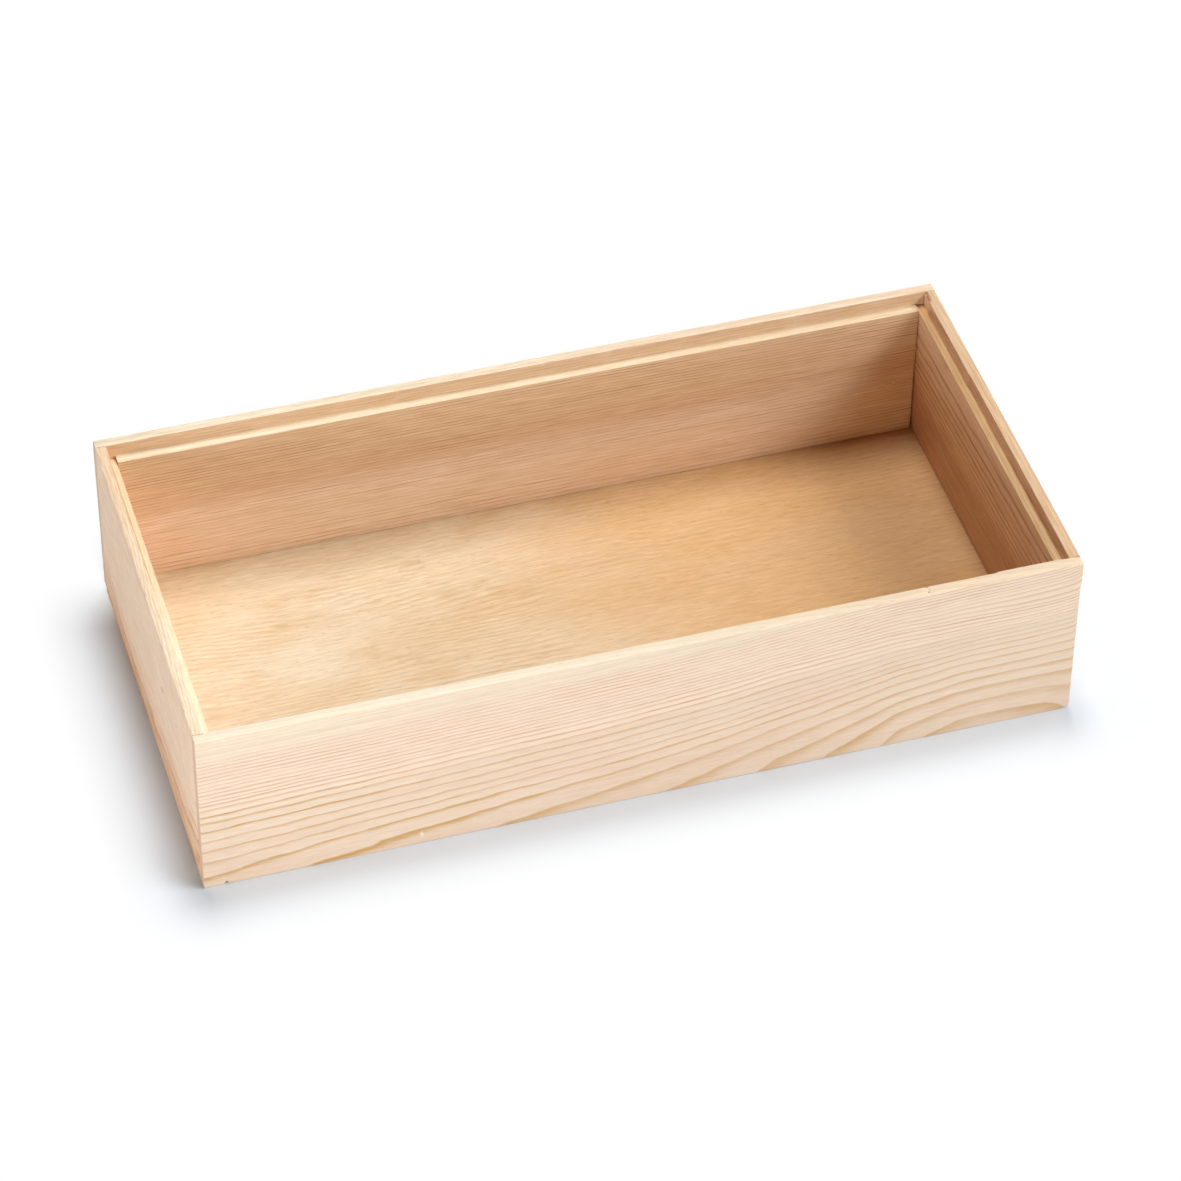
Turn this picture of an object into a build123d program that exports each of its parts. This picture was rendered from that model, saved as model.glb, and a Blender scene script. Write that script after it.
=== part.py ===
from build123d import *
import os

# Open pine box: four boards glued at rebated corners round a thin plywood floor.
# Millimetres. Origin on the table under the middle of the box, X along its length,
# -Y to the front, +Z up.

# Outside of the box
box_length = 360.0
box_width = 180.0
box_height = 80.0

# Long boards at the front and back
side_thickness = 9.0
side_rebate_depth = 6.2

# Short boards between them
end_thickness = 8.0
end_rebate_depth = 7.0

# What a rebate leaves of a board: the rim round the mouth and the tongue at each lapped corner
tongue_thickness = 4.5

# Plywood floor, and the groove in all four boards that holds it
base_thickness = 4.0
base_lift = 4.5
groove_depth = 3.5
groove_play = 0.3
base_edge_play = 0.5

# Sanded outer arrises
arris_radius = 0.8

# How far a cutter passes beyond the wood
cut_overrun = 5.0


def board_section(thickness, rebate_depth):
    """Section of a board, its outer face on the vertical axis and its inner face to the right."""
    ledge_height = box_height - rebate_depth
    groove_floor = thickness - groove_depth
    groove_top = base_lift + base_thickness + groove_play
    return make_face(
        Polyline(
            (0, 0),
            (thickness, 0),
            (thickness, base_lift),
            (groove_floor, base_lift),
            (groove_floor, groove_top),
            (thickness, groove_top),
            (thickness, ledge_height),
            (tongue_thickness, ledge_height),
            (tongue_thickness, box_height),
            (0, box_height),
            close=True,
        )
    )


def corner_rebate(side):
    """Block that is cut from one end of the front board, where the end board is let in."""
    length = end_thickness + cut_overrun
    depth = side_thickness - tongue_thickness + cut_overrun
    height = box_height + 2 * cut_overrun
    shoulder = box_length / 2 - end_thickness
    inner_face = tongue_thickness - box_width / 2
    block = Box(length, depth, height, align=(Align.MIN, Align.MIN, Align.MIN))
    block = Pos(shoulder, inner_face, -cut_overrun) * block
    return block if side > 0 else mirror(block, about=Plane.YZ)


def ease_front_board(board):
    """Rounds the arrises that stay open on the finished box: the outer face and the ends of the tongues."""
    arrises = board.faces().sort_by(Axis.Y)[0].edges()
    for end in (board.faces().sort_by(Axis.X)[0], board.faces().sort_by(Axis.X)[-1]):
        arrises += end.edges().filter_by(Axis.Y)
    return fillet(arrises, arris_radius)


def front_board():
    """Long board: top rebate and floor groove run right through, the ends are rebated into tongues."""
    face = Plane(origin=(0, -box_width / 2, 0), x_dir=(0, 1, 0), z_dir=(1, 0, 0))
    board = extrude(face * board_section(side_thickness, side_rebate_depth), box_length / 2, both=True)
    for side in (1, -1):
        board -= corner_rebate(side)
    return ease_front_board(board)


def left_board():
    """Short board: butts between the tongues of the long ones, so its rebate and groove run right through."""
    length = box_width - 2 * tongue_thickness
    face = Plane(origin=(-box_length / 2, 0, 0), x_dir=(1, 0, 0), z_dir=(0, -1, 0))
    board = extrude(face * board_section(end_thickness, end_rebate_depth), length / 2, both=True)
    outer_face = board.faces().sort_by(Axis.X)[0]
    return fillet(outer_face.edges().filter_by(Axis.Y), arris_radius)


def floor_panel():
    """Plywood sheet that stands in the groove of all four boards."""
    bite = 2 * (groove_depth - base_edge_play)
    length = box_length - 2 * end_thickness + bite
    width = box_width - 2 * side_thickness + bite
    panel = Box(length, width, base_thickness, align=(Align.CENTER, Align.CENTER, Align.MIN))
    return Pos(0, 0, base_lift) * panel


def turned(board):
    """The same board at the opposite side of the box."""
    return board.rotate(Axis.Z, 180)


front = front_board()
left = left_board()
pieces = {
    "front_wall": front,
    "back_wall": turned(front),
    "left_end": left,
    "right_end": turned(left),
    "base_panel": floor_panel(),
}

os.makedirs("parts", exist_ok=True)
for name, piece in pieces.items():
    export_step(piece, f"parts/{name}.step")
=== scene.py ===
import bpy
import bmesh
from math import pi, radians
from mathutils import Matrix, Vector


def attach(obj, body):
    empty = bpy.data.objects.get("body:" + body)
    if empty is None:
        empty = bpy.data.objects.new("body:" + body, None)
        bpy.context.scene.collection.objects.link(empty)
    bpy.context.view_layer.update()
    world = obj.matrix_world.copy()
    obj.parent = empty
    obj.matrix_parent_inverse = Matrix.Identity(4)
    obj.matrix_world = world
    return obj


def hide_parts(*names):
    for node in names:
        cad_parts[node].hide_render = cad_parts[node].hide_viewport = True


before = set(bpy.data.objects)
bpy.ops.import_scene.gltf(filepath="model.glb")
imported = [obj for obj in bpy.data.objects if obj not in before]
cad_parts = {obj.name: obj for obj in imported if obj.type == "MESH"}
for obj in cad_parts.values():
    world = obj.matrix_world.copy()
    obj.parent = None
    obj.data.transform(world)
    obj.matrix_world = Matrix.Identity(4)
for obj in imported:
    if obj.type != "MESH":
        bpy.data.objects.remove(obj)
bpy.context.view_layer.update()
mm = 0.001  # lengths of the box and its wood are in millimetres, those of the studio in metres
print("frame loaded:", ", ".join(sorted(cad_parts)))


# modelling helpers

modelling = {
    "samePlace": 0.02,  # how far apart still counts as one place
    "facing": 0.9,  # from here on a direction counts as pointing that way
    "cutSlack": 0.001,  # a point this near to a cut lies on it
    "mergeWithin": 0.0005,  # points this near become one
    "flatAngle": 0.5,  # degrees
    "smoothAngle": 40,
}


def choose(piece):
    bpy.ops.object.select_all(action="DESELECT")
    piece.select_set(True)
    bpy.context.view_layer.objects.active = piece


def startBlock(name, low, high):
    bpy.ops.object.select_all(action="DESELECT")
    low, high = Vector(low) * mm, Vector(high) * mm
    bpy.ops.mesh.primitive_cube_add(size=1, location=(low + high) / 2, scale=high - low)
    block = bpy.context.object
    block.name = name
    block.data.name = name
    bpy.ops.object.transform_apply(location=True, rotation=True, scale=True)
    bpy.ops.object.mode_set(mode="EDIT")
    return block


def pick(piece, kind, test):
    # leaves selected only the faces, edges or points that pass the test, and counts them
    bpy.ops.mesh.select_mode(type=kind)
    bpy.ops.mesh.select_all(action="DESELECT")
    shape = bmesh.from_edit_mesh(piece.data)
    found = 0
    if kind == "FACE":
        for face in shape.faces:
            chosen = test(face.calc_center_median() / mm, face.normal)
            face.select_set(chosen)
            found += chosen
    elif kind == "EDGE":
        for edge in shape.edges:
            first, last = (point.co / mm for point in edge.verts)
            chosen = test((first + last) / 2, (last - first).normalized())
            edge.select_set(chosen)
            found += chosen
    else:
        for point in shape.verts:
            chosen = test(point.co / mm)
            point.select_set(chosen)
            found += chosen
    shape.select_flush_mode()
    bmesh.update_edit_mesh(piece.data)
    return found


def near(value, target):
    return abs(value - target) < modelling["samePlace"]


def facing(part):
    return part > modelling["facing"]


def slicePiece(axis, places):
    # cuts every face that a plane across the axis meets
    normal = [int(letter == axis) for letter in "xyz"]
    for place in places:
        bpy.ops.mesh.select_all(action="SELECT")
        bpy.ops.mesh.bisect(
            plane_co=[part * place * mm for part in normal],
            plane_no=normal,
            threshold=modelling["cutSlack"] * mm,
        )


def pull(x, y, z):
    bpy.ops.mesh.extrude_region_move(TRANSFORM_OT_translate={"value": (x * mm, y * mm, z * mm)})


def joinFlats():
    # faces that lie in one plane become one
    bpy.ops.mesh.select_all(action="SELECT")
    bpy.ops.mesh.dissolve_limited(angle_limit=radians(modelling["flatAngle"]))


def easeEdges(width, steps):
    bpy.ops.mesh.bevel(offset=width * mm, segments=steps, affect="EDGES", clamp_overlap=True)


def closeUp(piece):
    bpy.ops.mesh.select_all(action="SELECT")
    bpy.ops.mesh.remove_doubles(threshold=modelling["mergeWithin"] * mm)
    bpy.ops.mesh.normals_make_consistent(inside=False)
    bpy.ops.object.mode_set(mode="OBJECT")
    choose(piece)
    bpy.ops.object.shade_smooth_by_angle(angle=radians(modelling["smoothAngle"]))


def copyTurned(piece, name):
    # the same board at the opposite side of the box, with a mesh of its own
    choose(piece)
    bpy.ops.object.duplicate(linked=False)
    twin = bpy.context.object
    twin.name = name
    twin.data.name = name
    twin.rotation_euler = (0, 0, pi)
    bpy.ops.object.transform_apply(location=True, rotation=True, scale=True)
    return twin


def wearPiece(piece, marks):
    # cuts the piece beside each worn place, then pushes in the points inside the place's box
    choose(piece)
    bpy.ops.object.mode_set(mode="EDIT")
    for cuts, low, high, push in marks:
        for axis, places in cuts.items():
            slicePiece(axis, places)
        moved = pick(piece, "VERT", lambda at: all(a < b < c for a, b, c in zip(low, at, high)))
        bpy.ops.transform.translate(value=[part * mm for part in push])
        print("worn place on", piece.name, "points moved:", moved)
    closeUp(piece)


# what all four boards share

everyBoard = {
    "height": 80.0,
    "rim": 4.5,  # what the lid rebate leaves at the top, and the lap at each end of a long board
    "groove": (4.5, 8.8),  # low and high side of the slot for the floor
    "grooveDepth": 3.5,
    "arris": 0.5,
    "arrisSteps": 3,
    "innerArris": 0.22,
    "innerSteps": 2,
    "sliceEvery": 9.0,  # spacing of the cuts along a board
}

# the two long boards

longBoard = {
    **everyBoard,
    "outerFace": -90.0,
    "length": 360.0,
    "thickness": 9.0,
    "rebate": 6.2,
    "lap": 8.0,  # the ends lap over the short boards
    "glueLine": 0.15,  # between the shoulder of a lap and the short board
    "knockedCorner": 2.8,  # lower corner that has been stood on
    "cornerSteps": 4,
}


def makeLongBoard(name, size):
    outer = size["outerFace"]
    seam = outer + size["rim"]
    inner = outer + size["thickness"]
    half = size["length"] / 2
    shoulder = half - size["lap"] - size["glueLine"]
    top = size["height"]
    low, high = size["groove"]

    # core, then the rim on top of it and a lap at each end, then the groove for the floor
    board = startBlock(name, (-shoulder, outer, 0), (shoulder, inner, top - size["rebate"]))
    slicePiece("y", [seam])
    pick(board, "FACE", lambda at, way: facing(way.z) and at.y < seam)
    pull(0, 0, size["rebate"])
    for side in (-1, 1):
        pick(board, "FACE", lambda at, way: facing(way.x * side) and at.y < seam)
        pull(side * (half - shoulder), 0, 0)
    slicePiece("z", [low, high])
    pick(board, "FACE", lambda at, way: facing(way.y) and near(at.y, inner) and low < at.z < high)
    pull(0, -size["grooveDepth"], 0)
    joinFlats()

    # corner knocked round, then the sanded arrises
    pick(board, "EDGE", lambda at, way: near(at.x, half) and near(at.z, 0) and facing(abs(way.y)))
    easeEdges(size["knockedCorner"], size["cornerSteps"])

    def openArris(at, way):
        if near(at.y, outer):
            return True
        return near(abs(at.x), half) and near(at.z, top) and facing(abs(way.y))

    def innerArris(at, way):
        if facing(abs(way.x)):
            return (near(at.y, seam) and near(at.z, top)) or near(at.y, inner)
        return facing(abs(way.z)) and near(at.y, seam) and near(abs(at.x), half)

    pick(board, "EDGE", openArris)
    easeEdges(size["arris"], size["arrisSteps"])
    pick(board, "EDGE", innerArris)
    easeEdges(size["innerArris"], size["innerSteps"])
    count = int(size["length"] / size["sliceEvery"])
    slicePiece("x", [size["sliceEvery"] * step - half for step in range(1, count)])
    closeUp(board)
    return board


# worn places: cuts across each axis, low and high corner of a box, and the push on the points in it
frontWear = [
    # knocked corner runs out along the bottom edge
    ({"x": (173.5,)}, (176.9, -90.1, -0.1), (180.1, -85.0, 1.0), (0, 0, 0.4)),
    # notch in the bottom edge
    ({"x": (-172.0, -171.3, -170.6, -170.0), "z": (1.8,)},
     (-171.4, -90.1, -0.1), (-170.5, -89.2, 0.8), (0, 0.6, 0.8)),
    # nick in the inner half of the rim
    ({"x": (114.8, 115.3, 115.8, 116.3), "y": (-88.4,), "z": (78.8,)},
     (115.2, -88.6, 79.3), (115.9, -85.3, 80.1), (0, -0.1, -0.3)),
    # rim left wider at its right end
    ({"x": (144.9, 145.3)}, (145.2, -86.0, 73.7), (171.5, -85.3, 80.1), (0, 0.4, 0)),
    # top corner worn, and the end below it sawn back a little
    ({"x": (177.0, 178.8)}, (178.7, -90.1, 79.2), (180.1, -85.0, 80.1), (0, 0, -0.45)),
    ({"z": (67.8, 69.0)}, (179.1, -90.1, 3.0), (180.1, -85.0, 68.9), (-0.35, 0, 0)),
]
# chips along the inner edge of the back rim
chip = {
    "cuts": {"y": (86.6,), "z": (78.9,)},
    "low": (85.3, 79.5),
    "high": (86.0, 80.1),
    "margin": 0.1,
}


def rimChip(cuts, push):
    # the chip lies between the middle two of the cuts along the rim
    start, stop = cuts[1] - chip["margin"], cuts[2] + chip["margin"]
    return ({"x": cuts, **chip["cuts"]}, (start, *chip["low"]), (stop, *chip["high"]), push)


backWear = [
    rimChip((-55.0, -53.8, -52.4, -51.4), (0, 0.5, -0.45)),
    rimChip((7.6, 8.4, 9.6, 10.2), (0, 0.4, -0.4)),
    rimChip((34.4, 36.0, 38.0, 39.0), (0, 0.6, -0.4)),
    rimChip((116.8, 118.2, 119.6, 121.0), (0, 0.55, -0.5)),
    # joint standing open in the right-hand inside corner, less so towards the top
    ({"z": (64.0, 69.0)}, (171.7, 80.9, -0.1), (172.0, 85.6, 66.0), (-0.25, 0, 0)),
    ({"z": (40.0, 43.0)}, (171.4, 80.9, -0.1), (171.7, 85.6, 41.0), (-0.25, 0, 0)),
]
frontBoard = makeLongBoard("front_board", longBoard)
backBoard = copyTurned(frontBoard, "back_board")
wearPiece(frontBoard, frontWear)
wearPiece(backBoard, backWear)
print("long boards cut")

# the two short boards

shortBoard = {
    **everyBoard,
    "outerFace": -180.0,
    "length": 170.6,  # a hair short of the 171 mm between the laps, for the glue line
    "thickness": 8.0,
    "rebate": 7.0,
}


def makeShortBoard(name, size):
    outer = size["outerFace"]
    seam = outer + size["rim"]
    inner = outer + size["thickness"]
    half = size["length"] / 2
    top = size["height"]
    low, high = size["groove"]

    # core, then the rim on top of it, then the groove for the floor
    board = startBlock(name, (outer, -half, 0), (inner, half, top - size["rebate"]))
    slicePiece("x", [seam])
    pick(board, "FACE", lambda at, way: facing(way.z) and at.x < seam)
    pull(0, 0, size["rebate"])
    slicePiece("z", [low, high])
    pick(board, "FACE", lambda at, way: facing(way.x) and near(at.x, inner) and low < at.z < high)
    pull(-size["grooveDepth"], 0, 0)
    joinFlats()

    def openArris(at, way):
        return near(at.x, outer) and facing(abs(way.y))

    def innerArris(at, way):
        if facing(abs(way.y)):
            return (near(at.x, seam) and near(at.z, top)) or near(at.x, inner)
        return facing(abs(way.z)) and near(abs(at.y), half) and near(at.x, outer)

    pick(board, "EDGE", openArris)
    easeEdges(size["arris"], size["arrisSteps"])
    pick(board, "EDGE", innerArris)
    easeEdges(size["innerArris"], size["innerSteps"])
    count = int(size["length"] / size["sliceEvery"])
    slicePiece("y", [size["sliceEvery"] * step - half for step in range(1, count)])
    closeUp(board)
    return board


leftWear = [
    # chipped back end of the ledge
    ({"y": (82.6, 84.2), "z": (71.8,)}, (-175.3, 84.1, 72.6), (-171.9, 85.5, 73.1), (0, -0.25, -0.3)),
    ({"y": (77.0, 80.5)}, (-172.5, 80.4, 72.6), (-171.9, 84.3, 73.1), (-0.15, 0, -0.1)),
]
rightWear = [
    # chip beside the back corner, and the hole in the corner
    ({"y": (78.4, 80.0, 83.2, 84.2), "x": (176.8,), "z": (78.6,)},
     (175.3, 79.9, 79.4), (176.0, 83.3, 80.1), (0.6, 0, -0.4)),
    ({"y": (84.9,)}, (175.3, 84.1, 78.9), (176.0, 85.5, 80.1), (0.9, -0.2, -1.0)),
    # rim left wider
    ({"y": (29.9, 30.3)}, (175.3, 30.2, 72.9), (176.0, 78.5, 80.1), (-0.3, 0, 0)),
]
leftBoard = makeShortBoard("left_board", shortBoard)
rightBoard = copyTurned(leftBoard, "right_board")
wearPiece(leftBoard, leftWear)
wearPiece(rightBoard, rightWear)
print("short boards cut")

# the plywood floor

floorPly = {
    "low": (-175.0, -84.0, 4.5),
    "high": (175.0, 84.0, 8.5),
    "veneers": (5.7, 7.3),
    "setBack": 0.12,  # the middle veneer, crossing the other two, is sanded back a little
}


def makeFloor(name, size):
    panel = startBlock(name, size["low"], size["high"])
    low, high = size["veneers"]
    slicePiece("z", [low, high])
    pick(panel, "FACE", lambda at, way: not facing(abs(way.z)) and low < at.z < high)
    bpy.ops.mesh.extrude_region_shrink_fatten(TRANSFORM_OT_shrink_fatten={"value": -size["setBack"] * mm})
    closeUp(panel)
    return panel


floorPanel = makeFloor("floor_panel", floorPly)
print("floor panel cut")


# material maths: a socket that can be added, multiplied and so on

mixSockets = {"share": 0, "first": 6, "second": 7, "result": 2}  # the colour ones of a Mix node


class Wire:
    def __init__(self, tree, socket=None):
        self.tree = tree
        self.socket = socket

    def node(self, kind, settings, inputs, out=0):
        made = self.tree.nodes.new(kind)
        for name, value in settings.items():
            setattr(made, name, value)
        for name, value in inputs.items():
            if isinstance(value, Wire):
                self.tree.links.new(value.socket, made.inputs[name])
            else:
                made.inputs[name].default_value = value
        return Wire(self.tree, made.outputs[out])

    def pin(self, name):
        return Wire(self.tree, self.socket.node.outputs[name])

    def math(self, operation, *values):
        return self.node("ShaderNodeMath", {"operation": operation}, dict(enumerate(values)))

    def __add__(self, other):
        return self.math("ADD", self, other)

    __radd__ = __add__

    def __sub__(self, other):
        return self.math("SUBTRACT", self, other)

    def __rsub__(self, other):
        return self.math("SUBTRACT", other, self)

    def __mul__(self, other):
        return self.math("MULTIPLY", self, other)

    __rmul__ = __mul__

    def __pow__(self, other):
        return self.math("POWER", self, other)

    def __abs__(self):
        return self.math("ABSOLUTE", self)

    def root(self):
        return self.math("SQRT", self)

    def whole(self):
        return self.math("FLOOR", self)

    def part(self):
        return self.math("FRACT", self)

    def rise(self, low, high):
        # 0 below low, 1 above high, smooth between
        return self.node(
            "ShaderNodeMapRange",
            {"interpolation_type": "SMOOTHSTEP", "clamp": True},
            {"Value": self, "From Min": low, "From Max": high, "To Min": 0.0, "To Max": 1.0},
        )

    def follow(self, points, handles="AUTO"):
        # value of a line drawn through the points
        across = [place[0] for place in points]
        heights = [place[1] for place in points]
        wide, tall = across[-1] - across[0], max(heights) - min(heights)
        drawn = self.node(
            "ShaderNodeFloatCurve", {}, {"Factor": 1.0, "Value": (self - across[0]) * (1 / wide)}
        )
        mapping = drawn.socket.node.mapping
        line = mapping.curves[0]
        while len(line.points) < len(points):
            line.points.new(1, 1)
        for point, (x, y) in zip(line.points, points):
            point.location = ((x - across[0]) / wide, (y - min(heights)) / tall)
            point.handle_type = handles
        mapping.update()
        return drawn * tall + min(heights)

    def mix(self, share, first, second, **settings):
        return self.node(
            "ShaderNodeMix",
            {"data_type": "RGBA", **settings},
            {mixSockets["share"]: share, mixSockets["first"]: first, mixSockets["second"]: second},
            mixSockets["result"],
        )

    def blend(self, first, second):
        # colour from first to second as this value goes from 0 to 1
        return self.mix(self, first, second, clamp_factor=True)

    def stain(self, colour, amounts):
        # darkens red, green and blue by this value times their amounts
        red, green, blue = [1 - self * amount for amount in amounts]
        filtered = self.node("ShaderNodeCombineColor", {}, {"Red": red, "Green": green, "Blue": blue})
        return self.mix(1.0, colour, filtered, blend_type="MULTIPLY")


pictureCurve = {"knee": 0.04045, "slope": 12.92, "lift": 0.055, "power": 2.4}


def paint(red, green, blue):
    # a colour as a picture shows it, 0 to 255, in Blender's linear values
    def straight(value):
        value = value / 255
        if value <= pictureCurve["knee"]:
            return value / pictureCurve["slope"]
        return ((value + pictureCurve["lift"]) / (1 + pictureCurve["lift"])) ** pictureCurve["power"]
    return (straight(red), straight(green), straight(blue), 1.0)


def newMaterial(name):
    finish = bpy.data.materials.new(name)
    finish.use_nodes = True
    tree = finish.node_tree
    shader = tree.nodes["Principled BSDF"]
    return finish, tree, shader


noiseLook = {"scale": 1.0, "roughness": 0.55, "middle": 0.5}


def grainNoise(wire, spot, stretch, detail, seed):
    # noise drawn out along the grain; stretch gives the size of its lumps along, across and up
    along, across, up = [value * (1 / size) for value, size in zip(spot, stretch)]
    place = wire.node("ShaderNodeCombineXYZ", {}, {"X": along + seed, "Y": across + seed, "Z": up})
    return wire.node(
        "ShaderNodeTexNoise",
        {"noise_dimensions": "3D"},
        {
            "Vector": place,
            "Scale": noiseLook["scale"],
            "Detail": detail,
            "Roughness": noiseLook["roughness"],
        },
    )


def grainSwing(wire, spot, stretch, detail, seed):
    # the same noise, swinging to both sides of zero
    return grainNoise(wire, spot, stretch, detail, seed) - noiseLook["middle"]


def plugIn(wire, shader, colour, gloss, height, look):
    bump = wire.node(
        "ShaderNodeBump",
        {},
        {"Strength": look["bump"], "Distance": look["bumpDepth"] * mm, "Height": height},
    )
    for name, value in (("Base Color", colour), ("Roughness", gloss), ("Normal", bump)):
        wire.tree.links.new(value.socket, shader.inputs[name])
    shader.inputs["Specular IOR Level"].default_value = look["specular"]


# what the wood of the four boards has in common
pineGrain = {
    "axes": {"x": ("X", "Y", "Z"), "y": ("Y", "X", "Z")},  # along, across and up, by the way of the grain
    "facing": (0.6, 0.9),  # how far a face has to turn up, or to the end of the board, to count as such
    "rimFrom": (74.5, 78.0),  # heights over which an upward face goes from ledge to rim
    "upperFrom": (72.5, 74.0),  # heights over which the wood above the ledge sets in
    # noises: size of the lumps along, across and up, then detail and seed
    "streakNoise": ((26, 1.4, 1.4), 2.0, 6.4),
    "fadeNoise": ((48, 7, 7), 2.0, 11.3),
    "cloudNoise": ((90, 22, 22), 2.0, 5.9),
    "fleckNoise": ((3.2, 0.42, 0.42), 0.0, 9.2),
    "poreNoise": ((1.5, 0.5, 0.5), 1.0, 4.4),
    # detail and seed of the noises that have a size of each board's own
    "fibreNoise": (3.0, 1.7),
    "swayNoise": (2.0, 3.1),
    "rippleNoise": (1.0, 7.7),
    # part of a noise that is drawn out from 0 to 1
    "fadeRange": (0.25, 0.75),
    "cloudRange": (0.3, 0.7),
    "fleckRange": (0.76, 0.84),
    # late line: where in the year it is darkest, how slowly it gets there, and its sharp outer side
    "lateFull": 0.94,
    "latePower": 1.8,
    "lateStop": (0.95, 1.0),
    # end grain: bolder lines, and a sawn tone with pores
    "endBold": 0.4,
    "endShare": 0.8,
    "poreTint": (0.3, 0.36, 0.45),
    # small marks: how much the fibres fray them, and where they fade as a share of their reach
    "markFray": 2,
    "markEdge": (0.5, 1.0),
    # surface
    "bump": 0.2,
    "bumpDepth": 0.03,
    "fleckDepth": 0.4,
    "roughness": 0.60,
    "fibreRough": 0.10,
    "lineSmooth": 0.08,
    "endRough": 0.12,
    "specular": 0.3,
}


def pineWood(name, look):
    finish, tree, shader = newMaterial(name)
    wire = Wire(tree)
    place = wire.node("ShaderNodeTexCoord", {}, {}, "Object")
    split = wire.node("ShaderNodeSeparateXYZ", {}, {"Vector": place})
    turned = wire.node("ShaderNodeSeparateXYZ", {}, {"Vector": place.pin("Normal")})
    axes = pineGrain["axes"][look["grain"]]
    spot = [split.pin(axis) * (1 / mm) for axis in axes]
    along, across, up = spot
    endGrain = abs(turned.pin(axes[0])).rise(*pineGrain["facing"])
    topFace = turned.pin("Z").rise(*pineGrain["facing"])
    rim = topFace * up.rise(*pineGrain["rimFrom"])
    ledge = topFace - rim
    fibre = grainSwing(wire, spot, look["fibreSize"], *pineGrain["fibreNoise"])
    streak = grainSwing(wire, spot, *pineGrain["streakNoise"])

    # distance from the heart of the tree, with the sway of the grain and feathered by the fibres
    sway = grainSwing(wire, spot, look["sway"], *pineGrain["swayNoise"]) * look["swayDepth"]
    ripple = grainSwing(wire, spot, look["ripple"], *pineGrain["rippleNoise"]) * look["rippleDepth"]
    rise = up - along.follow(look["heartUp"])
    depth = across - along.follow(look["heartIn"])
    radius = (rise * rise + depth * depth).root() + sway + ripple + fibre * look["feather"]
    if look["pinch"]:
        start, stop, amount, inside, outside = look["pinch"]
        belt = radius.rise(*inside) * (1 - radius.rise(*outside))
        radius = radius + along.rise(start, stop) * belt * amount

    # year rings: pale early wood darkening to a late line with a sharp outer side
    years = radius.follow(look["years"], "VECTOR")
    season = years.part()
    chance = wire.node(
        "ShaderNodeTexWhiteNoise", {"noise_dimensions": "1D"}, {"W": years.whole() + look["seed"]}, "Value"
    )
    late = season.rise(radius.follow(look["lateFrom"]), pineGrain["lateFull"]) ** pineGrain["latePower"]
    late = late * (1 - season.rise(*pineGrain["lateStop"]))
    fade = grainNoise(wire, spot, *pineGrain["fadeNoise"]).rise(*pineGrain["fadeRange"])
    upper = up.rise(*pineGrain["upperFrom"])
    tight = (radius + along * look["tightSlope"]).rise(*look["tightFrom"])
    bare = radius.rise(*look["bareFrom"])
    boldness = tight * look["tightBold"] + (1 - tight) * along.follow(look["bold"])
    boldness = boldness * (1 - look["bareCalm"] * bare) * (1 + look["topBold"] * topFace)
    boldness = boldness * (1 - look["upperCalm"] * upper) * (1 - look["fading"] * (1 - fade))
    line = late * boldness * (1 - look["spread"] * chance) * (1 + pineGrain["endBold"] * endGrain)

    # colours
    cloud = grainNoise(wire, spot, *pineGrain["cloudNoise"]).rise(*pineGrain["cloudRange"])
    early = cloud.blend(look["pale"], look["warm"])
    early = (tight * (1 - bare) * look["tightTint"]).blend(early, look["rose"])
    # the ring-free zone turns cream; this is partly painted light, where more light falls on the upper left
    early = (bare * look["bareTint"]).blend(early, look["creamAndLight"])
    for inside, outside, share, colour in look["belts"]:
        belt = radius.rise(*inside) * (1 - radius.rise(*outside))
        early = (belt * share).blend(early, colour)
    # painted light on upward faces: rims and ledges take their own tones, graded from one end of the board
    # to the other as the light falls off, and the ledges are paler to stand in for light that the rim keeps
    # off them
    endToEndLight = along.rise(*look["ends"])
    early = (rim * look["rimShare"]).blend(early, endToEndLight.blend(*look["rimToneAndLight"]))
    early = (ledge * look["ledgeShare"]).blend(early, endToEndLight.blend(*look["ledgeToneAndLight"]))
    early = (season * season * look["honey"]).blend(early, look["lateWide"])
    wood = line.blend(early, tight.blend(look["lateWide"], look["lateTight"]))

    # fibres, resin flecks, the darker sawn ends and small marks
    wood = (streak * look["streak"] + fibre * look["fibre"]).stain(wood, look["grainTint"])
    fleck = grainNoise(wire, spot, *pineGrain["fleckNoise"]).rise(*pineGrain["fleckRange"])
    wood = (fleck * look["fleck"]).blend(wood, look["resin"])
    pores = grainSwing(wire, spot, *pineGrain["poreNoise"])
    sawn = pores.stain(look["endTone"], pineGrain["poreTint"])
    wood = (endGrain * pineGrain["endShare"]).blend(wood, sawn)
    fray = fibre * pineGrain["markFray"]
    for colour, middle, reach in look["marks"]:
        gaps = [(value + fray - centre) * (1 / size) for value, centre, size in zip(spot, middle, reach)]
        away = (gaps[0] * gaps[0] + gaps[1] * gaps[1] + gaps[2] * gaps[2]).root()
        wood = (1 - away.rise(*pineGrain["markEdge"])).blend(wood, colour)

    gloss = pineGrain["roughness"] + pineGrain["fibreRough"] * fibre
    gloss = gloss - pineGrain["lineSmooth"] * line + pineGrain["endRough"] * endGrain
    height = fibre - fleck * pineGrain["fleckDepth"] + endGrain * pores
    plugIn(wire, shader, wood, gloss, height, pineGrain)
    return finish


# front board's year rings: radius of the first, widths from there outwards, and an outer one
firstRing = 39
frontRings = [4, 4, 4, 4.5, 3.5, 3.5, 3.5, 3, 2.5, 2, 2, 2.5, 2.5, 2.5, 2, 2, 1.5, 1]
outerRing = (118, 39)


def ringPlaces(radius, widths):
    places = [(radius, 0)]
    for ring, width in enumerate(widths, 1):
        radius = radius + width
        places.append((radius, ring))
    return places


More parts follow.
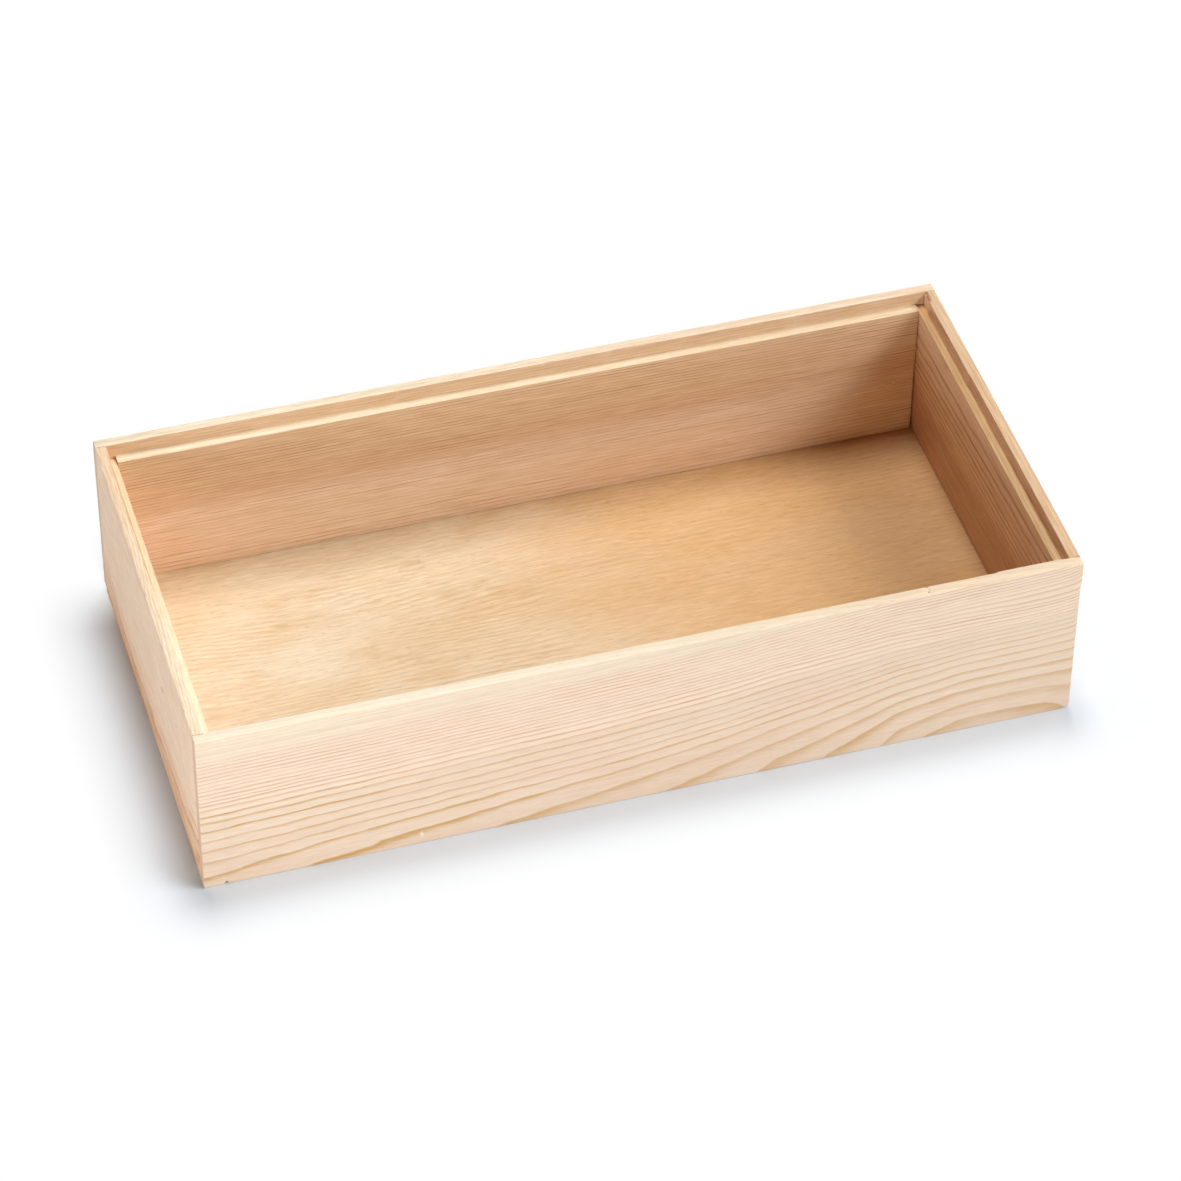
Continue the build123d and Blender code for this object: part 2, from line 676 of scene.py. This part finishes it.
frontPine = {
    "grain": "x",
    "seed": 4.0,
    # heart of the tree behind the board, and how it runs along the board
    "heartIn": [(-180, -20), (-120, -22.5), (-60, -25), (0, -28), (60, -33.5), (90, -38), (120, -45),
                (145, -47), (180, -43)],
    "heartUp": [(-180, -8.5), (-120, -10), (-60, -10.5), (30, -10.5), (60, -9.5), (90, -9.5), (120, -12),
                (145, -12), (180, -5.5)],
    "years": ringPlaces(firstRing, frontRings) + [outerRing],  # ring radius against ring number
    # rings drawn in to the heart: from and to which x, by how much, and the radii where it sets in and ends
    "pinch": (45, 175, 4.0, (75, 83), (84, 95)),
    "sway": (60, 30, 12),
    "swayDepth": 0.7,
    "ripple": (16, 9, 5),
    "rippleDepth": 0.7,
    "feather": 0.45,
    "lateFrom": [(39, 0.28), (58, 0.36), (70, 0.60), (78, 0.58), (88, 0.35), (118, 0.30)],  # by radius
    "bold": [(-180, 1.2), (-90, 1.1), (0, 0.9), (180, 0.85)],
    "spread": 0.4,
    "tightFrom": (80.0, 84.5),
    "tightSlope": 0.014,
    "tightBold": 0.72,
    "tightTint": 1.0,
    "bareFrom": (101.5, 106.0),
    "bareCalm": 0.85,
    "bareTint": 0.9,
    # how upward faces and the wood above the ledge differ; the rim and ledge tones, given for the board's
    # two ends, are partly painted light: lighter at the end where more light falls and darker towards the
    # other
    "topBold": -0.65,
    "upperCalm": 0.0,
    "fading": 0.5,
    "ends": (-170, 170),
    "rimShare": 0.9,
    "rimToneAndLight": (paint(255, 244, 220), paint(236, 214, 185)),
    "ledgeShare": 0.0,
    "ledgeToneAndLight": (paint(255, 238, 211), paint(255, 238, 211)),
    # bands of another tone: where they start and stop by radius, strength and colour
    "belts": [((106.8, 107.4), (107.4, 108.0), 0.35, paint(232, 196, 158))],
    "honey": 0.12,
    "pale": paint(247, 221, 195),
    "warm": paint(244, 214, 187),
    "rose": paint(255, 227, 201),
    # painted light: the ring-free upper left of the board is laid over with a paler cream, standing in for
    # the extra light that falls there
    "creamAndLight": paint(255, 233, 206),
    "lateWide": paint(214, 164, 88),
    "lateTight": paint(204, 150, 84),
    "resin": paint(176, 122, 76),
    "endTone": paint(228, 190, 158),
    "streak": 0.10,
    "fibre": 0.22,
    "fibreSize": (8, 0.5, 0.5),
    "grainTint": (1.0, 1.25, 1.9),
    "fleck": 0.25,
    # small marks: colour, middle and reach along, across and up
    "marks": [
        (paint(252, 238, 212), (-92, -90, 5), (0.9, 2, 2.2)),
        # painted shadow: a dark dot where the nick in the rim's inner edge is in shade
        (paint(170, 136, 100), (115.6, -88.5, 80), (0.6, 0.6, 1.0)),
    ],
}

rubbed = paint(250, 228, 201)
backPine = {
    **frontPine,
    "pinch": None,
    "seed": 61.0,
    "heartIn": [(-180, 124), (-60, 127), (60, 126), (180, 122)],
    "heartUp": [(-180, -47), (-100, -45), (0, -44), (100, -45), (180, -46)],
    "years": [(60, 0), (78, 11), (100, 26), (128, 46), (150, 62)],
    "lateFrom": [(60, 0.55), (150, 0.50)],
    "bold": [(-180, 0.95), (-100, 0.85), (180, 0.7)],
    "spread": 0.75,
    "marks": [  # rubbed spots beside the corner
        (rubbed, (154.5, 81, 35.2), (1.3, 3, 0.9)),
        (rubbed, (157.4, 81, 36.6), (1.0, 3, 0.8)),
        (rubbed, (160.2, 81, 35.0), (1.4, 3, 0.8)),
        (rubbed, (162.8, 81, 36.3), (1.0, 3, 0.9)),
    ],
    "tightSlope": 0.0,
    "tightFrom": (96, 104),
    "tightBold": 0.9,
    "tightTint": 0.9,
    "bareFrom": (140, 150),
    "bareCalm": 0.0,
    "topBold": -0.75,
    "upperCalm": 0.6,
    "fading": 0.85,
    # painted light: back rim and ledge lighter at the left end and darker towards the right-hand corner,
    # where the right end shades them; the ledge is paler than the rim to stand in for light the rim keeps
    # off it
    "rimToneAndLight": (paint(255, 239, 210), paint(243, 217, 188)),
    "ledgeShare": 0.9,
    "ledgeToneAndLight": (paint(249, 230, 198), paint(228, 206, 174)),
    "belts": [((92, 99), (103, 112), 0.3, paint(232, 190, 158))],
    "pale": paint(252, 228, 203),
    "warm": paint(249, 222, 195),
    "rose": paint(240, 208, 170),
    "lateWide": paint(192, 126, 60),
    "lateTight": paint(180, 112, 50),
    "streak": 0.17,
    "fibre": 0.48,
    "fibreSize": (12, 0.6, 0.6),
    "grainTint": (1.0, 1.35, 2.2),
}

leftPine = {
    **frontPine,
    "pinch": None,
    "grain": "y",
    "seed": 23.0,
    "heartIn": [(-90, -122), (0, -119), (90, -121)],
    "heartUp": [(-90, 3), (-20, 1.5), (40, -1.5), (90, -3)],
    "years": [(50, 0), (58, 2), (64, 5), (80, 20), (110, 55)],
    "lateFrom": [(50, 0.5), (110, 0.4)],
    "bold": [(-90, 1.0), (0, 0.9), (90, 1.0)],
    "belts": [],
    "tightSlope": 0.0,
    "tightFrom": (60, 66),
    "bareFrom": (120, 130),
    "tightBold": 0.2,
    "tightTint": 1.0,
    "topBold": 0.3,
    "ends": (-85, 85),
    # painted light: left rim and ledge lighter at the front end and darker towards the back
    "rimToneAndLight": (paint(255, 237, 206), paint(246, 217, 182)),
    "ledgeShare": 0.8,
    "ledgeToneAndLight": (paint(255, 236, 207), paint(238, 202, 163)),
    "sway": (44, 20, 10),
    "swayDepth": 2.4,
    "rippleDepth": 1.2,
    "pale": paint(240, 185, 141),
    "warm": paint(248, 208, 172),
    "rose": paint(254, 221, 189),
    "lateWide": paint(202, 132, 74),
    "streak": 0.22,
    "fibre": 0.55,
    "marks": [
        (paint(184, 148, 118), (-29, -180, 51), (2.4, 2, 1.1)),
        (paint(224, 180, 136), (38, -175.6, 80), (60, 0.8, 1.3)),  # rough inner edge of the rim
    ],
}

rightPine = {
    **frontPine,
    "pinch": None,
    "grain": "y",
    "seed": 87.0,
    "heartIn": [(-90, 131), (0, 132), (90, 131)],
    "heartUp": [(-90, 79), (0, 76), (90, 71)],
    "years": [(38, 0), (44, 3), (54, 8), (70, 18), (100, 40)],
    "lateFrom": [(38, 0.5), (100, 0.4)],
    "bold": [(-90, 0.9), (0, 0.8), (90, 0.9)],
    "belts": [],
    "tightSlope": 0.0,
    "tightFrom": (52, 60),
    "tightBold": 0.6,
    "bareFrom": (120, 130),
    "topBold": -0.75,
    "upperCalm": 0.4,
    "ends": (-85, 85),
    "rimShare": 0.6,
    # rim and ledge tones, partly painted light: the ledge is paler than the rim to stand in for the light
    # the rim keeps off it, and both are darker towards the back
    "rimToneAndLight": (paint(212, 183, 145), paint(210, 180, 140)),
    "ledgeShare": 0.9,
    "ledgeToneAndLight": (paint(250, 214, 156), paint(238, 196, 136)),
    "pale": paint(234, 197, 163),
    "warm": paint(228, 187, 151),
    "rose": paint(212, 170, 138),
    "lateWide": paint(156, 72, 28),
    "lateTight": paint(156, 86, 42),
    "marks": [(paint(206, 150, 128), (81.5, 176, 79.6), (3.6, 1.2, 1.2))],
    "streak": 0.26,
    "fibre": 0.60,
    "fibreSize": (14, 0.5, 0.5),
    "grainTint": (1.0, 1.5, 2.4),
}

plyLook = {
    "pale": paint(231, 217, 190),
    "warm": paint(224, 201, 166),
    "shadedGold": paint(212, 156, 88),  # painted shade: the sheet turns darker and more golden towards its right-hand end, where shade falls in the box
    "shadedGoldFrom": (-130, 130),
    "shadedGoldShare": 0.75,
    "late": paint(196, 150, 94),
    "blotch": paint(206, 164, 110),
    "blotchShare": 0.45,
    "resin": paint(160, 110, 66),
    "fleckShare": 0.45,
    "grainTint": (1.0, 1.25, 1.8),
    "streak": 0.20,
    "fibre": 0.44,
    # wavy lines: spacing, how far two noises bend them, where they darken and stop, least and added strength
    "lineSpacing": 2.6,
    "bulgeBend": 9,
    "waveBend": 1.1,
    "lineFrom": (0.3, 0.85),
    "lineStop": (0.88, 1.0),
    "lineShares": (0.08, 0.28),
    # noises: size of the lumps along, across and up, then detail and seed
    "bulgeNoise": ((110, 40, 60), 1.0, 2.3),
    "waveNoise": ((20, 9, 30), 2.0, 8.8),
    "fadeNoise": ((60, 25, 30), 2.0, 6.1),
    "cloudNoise": ((70, 30, 30), 2.0, 4.9),
    "blotchNoise": ((34, 15, 20), 3.0, 7.3),
    "fibreNoise": ((7, 0.6, 0.6), 3.0, 1.2),
    "streakNoise": ((18, 1.8, 3), 2.0, 5.2),
    "fleckNoise": ((4.5, 0.5, 0.5), 0.0, 3.3),
    # part of a noise that is drawn out from 0 to 1
    "fadeRange": (0.35, 0.7),
    "cloudRange": (0.3, 0.72),
    "blotchRange": (0.54, 0.76),
    "fleckRange": (0.74, 0.82),
    # surface
    "bump": 0.2,
    "bumpDepth": 0.03,
    "fleckDepth": 0.5,
    "roughness": 0.55,
    "fibreRough": 0.12,
    "specular": 0.3,
}


def plywood(name, look):
    finish, tree, shader = newMaterial(name)
    wire = Wire(tree)
    place = wire.node("ShaderNodeTexCoord", {}, {}, "Object")
    split = wire.node("ShaderNodeSeparateXYZ", {}, {"Vector": place})
    spot = [split.pin(axis) * (1 / mm) for axis in ("X", "Y", "Z")]
    along, across = spot[:2]

    # rotary-cut veneer: faint wavy lines, soft blotches and short dark pores
    bulge = grainNoise(wire, spot, *look["bulgeNoise"])
    wave = grainNoise(wire, spot, *look["waveNoise"])
    season = across * (1 / look["lineSpacing"]) + bulge * look["bulgeBend"] + wave * look["waveBend"]
    season = season.part()
    line = season.rise(*look["lineFrom"]) * (1 - season.rise(*look["lineStop"]))
    fade = grainNoise(wire, spot, *look["fadeNoise"]).rise(*look["fadeRange"])
    cloud = grainNoise(wire, spot, *look["cloudNoise"]).rise(*look["cloudRange"])
    blotch = grainNoise(wire, spot, *look["blotchNoise"]).rise(*look["blotchRange"])
    fibre = grainSwing(wire, spot, *look["fibreNoise"])
    streak = grainSwing(wire, spot, *look["streakNoise"])
    fleck = grainNoise(wire, spot, *look["fleckNoise"]).rise(*look["fleckRange"])

    leastLine, addedLine = look["lineShares"]
    wood = cloud.blend(look["pale"], look["warm"])
    # painted shade: darker and more golden towards the right-hand end
    wood = (along.rise(*look["shadedGoldFrom"]) * look["shadedGoldShare"]).blend(wood, look["shadedGold"])
    wood = (line * (leastLine + addedLine * fade)).blend(wood, look["late"])
    wood = (blotch * look["blotchShare"]).blend(wood, look["blotch"])
    wood = (streak * look["streak"] + fibre * look["fibre"]).stain(wood, look["grainTint"])
    wood = (fleck * look["fleckShare"]).blend(wood, look["resin"])
    gloss = look["roughness"] + look["fibreRough"] * fibre
    plugIn(wire, shader, wood, gloss, fibre - fleck * look["fleckDepth"], look)
    return finish


def dress(piece, node, finish):
    piece.data.materials.clear()
    piece.data.materials.append(finish)
    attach(piece, "root")
    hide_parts(node)


dress(frontBoard, "front_wall", pineWood("front pine", frontPine))
dress(backBoard, "back_wall", pineWood("back pine", backPine))
dress(leftBoard, "left_end", pineWood("left pine", leftPine))
dress(rightBoard, "right_end", pineWood("right pine", rightPine))
dress(floorPanel, "base_panel", plywood("floor plywood", plyLook))
print("wood finishes on")

# table, light and camera, in metres

boxMiddle = (0.0, 0.0, 0.04)
white = (1, 1, 1, 1)
studio = {
    "tableSize": 6.0,
    "tableColour": (0.79, 0.86, 0.94, 1.0),
    "tableRoughness": 0.9,
    "tableSpecular": 0.1,
    # share of plain white in what the camera sees of the table: beside the box, far away, over what distance
    "tableGlow": (0.02, 1.0, 0.036),
    # painted light: plain white laid over the table's shadow beside the left end, towards the back corner:
    # over which y, and left of which x
    "paintedOutShadow": ((0.060, 0.098), (-0.182, -0.172)),
    "boxHalf": (0.18, 0.09),
    "lamps": [  # name, place, what it points at, width, length, power
        ("overhead light", (0.10, 0.58, 2.46), boxMiddle, 0.6, 0.9, 33.9),
        ("right light", (2.30, -1.10, 2.46), boxMiddle, 1.2, 1.2, 33.0),
        ("low right light", (2.40, -0.70, 1.86), boxMiddle, 1.0, 1.0, 20.0),
        ("right back light", (2.10, 0.70, 2.66), boxMiddle, 1.2, 1.2, 9.6),
        ("front right light", (1.35, -1.50, 1.65), boxMiddle, 0.8, 0.8, 13.8),
        ("corner card", (-0.68, -0.82, 0.14), (-0.10, 0.0, 0.04), 0.6, 0.2, 3.7),
        ("left card", (-0.95, 0.05, 0.09), boxMiddle, 0.9, 0.18, 1.4),
    ],
}


def makeTable(look):
    bpy.ops.object.select_all(action="DESELECT")
    bpy.ops.mesh.primitive_plane_add(size=look["tableSize"], location=(0, 0, 0))
    table = bpy.context.object
    table.name = "table"
    finish, tree, shader = newMaterial("pale table")
    shader.inputs["Base Color"].default_value = look["tableColour"]
    shader.inputs["Roughness"].default_value = look["tableRoughness"]
    shader.inputs["Specular IOR Level"].default_value = look["tableSpecular"]
    wire = Wire(tree)
    ray = wire.node("ShaderNodeLightPath", {}, {}, "Is Camera Ray")
    place = wire.node("ShaderNodeTexCoord", {}, {}, "Object")
    split = wire.node("ShaderNodeSeparateXYZ", {}, {"Vector": place})
    beyond = [abs(split.pin(axis)) - half for axis, half in zip(("X", "Y"), look["boxHalf"])]
    beyond = [gap.math("MAXIMUM", gap, 0.0) for gap in beyond]
    away = (beyond[0] * beyond[0] + beyond[1] * beyond[1]).root()
    nearGlow, farGlow, reach = look["tableGlow"]
    share = nearGlow + (farGlow - nearGlow) * away.rise(0.0, reach)
    # painted light over the shadow beside the left end, towards the back corner
    backward, leftward = look["paintedOutShadow"]
    paintedLight = split.pin("Y").rise(*backward) * (1 - split.pin("X").rise(*leftward))
    share = share + (1 - share) * paintedLight
    glow = wire.node("ShaderNodeEmission", {}, {"Color": white, "Strength": 1.0})
    mixed = wire.node(
        "ShaderNodeMixShader", {}, {0: ray * share, 1: Wire(tree, shader.outputs[0]), 2: glow}
    )
    tree.links.new(mixed.socket, tree.nodes["Material Output"].inputs["Surface"])
    table.data.materials.append(finish)


def makeLight(look):
    # the room is white to the camera and in reflections, and lights nothing
    world = bpy.data.worlds.new("studio")
    world.use_nodes = True
    bpy.context.scene.world = world
    back = world.node_tree.nodes["Background"]
    back.inputs["Color"].default_value = white
    wire = Wire(world.node_tree)
    path = wire.node("ShaderNodeLightPath", {}, {}, "Is Camera Ray")
    seen = path.math("MAXIMUM", path, path.pin("Is Glossy Ray"))
    world.node_tree.links.new(seen.socket, back.inputs["Strength"])
    for name, place, aim, width, length, power in look["lamps"]:
        bpy.ops.object.light_add(type="AREA", location=place)
        lamp = bpy.context.object
        lamp.name = name
        lamp.data.shape = "RECTANGLE"
        lamp.data.size = width
        lamp.data.size_y = length
        lamp.data.energy = power
        lamp.visible_camera = False
        lamp.rotation_euler = (Vector(aim) - Vector(place)).to_track_quat("-Z", "Y").to_euler()


view = {
    "place": (-0.4097, -1.3445, 1.3587),
    "turn": (46.63, -0.461, -16.664),  # degrees
    "lens": 144.9,
    "sensor": 36.0,  # millimetres, like the lens
    "clipEnd": 50,
}


def makeCamera(look):
    bpy.ops.object.camera_add(location=look["place"], rotation=[radians(part) for part in look["turn"]])
    eye = bpy.context.object
    eye.name = "camera"
    eye.data.lens = look["lens"]
    eye.data.sensor_width = look["sensor"]
    eye.data.sensor_fit = "HORIZONTAL"
    eye.data.clip_end = look["clipEnd"]
    bpy.context.scene.camera = eye


makeTable(studio)
makeLight(studio)
makeCamera(view)
bpy.context.scene.view_settings.view_transform = "Standard"
print("table, light and camera set")
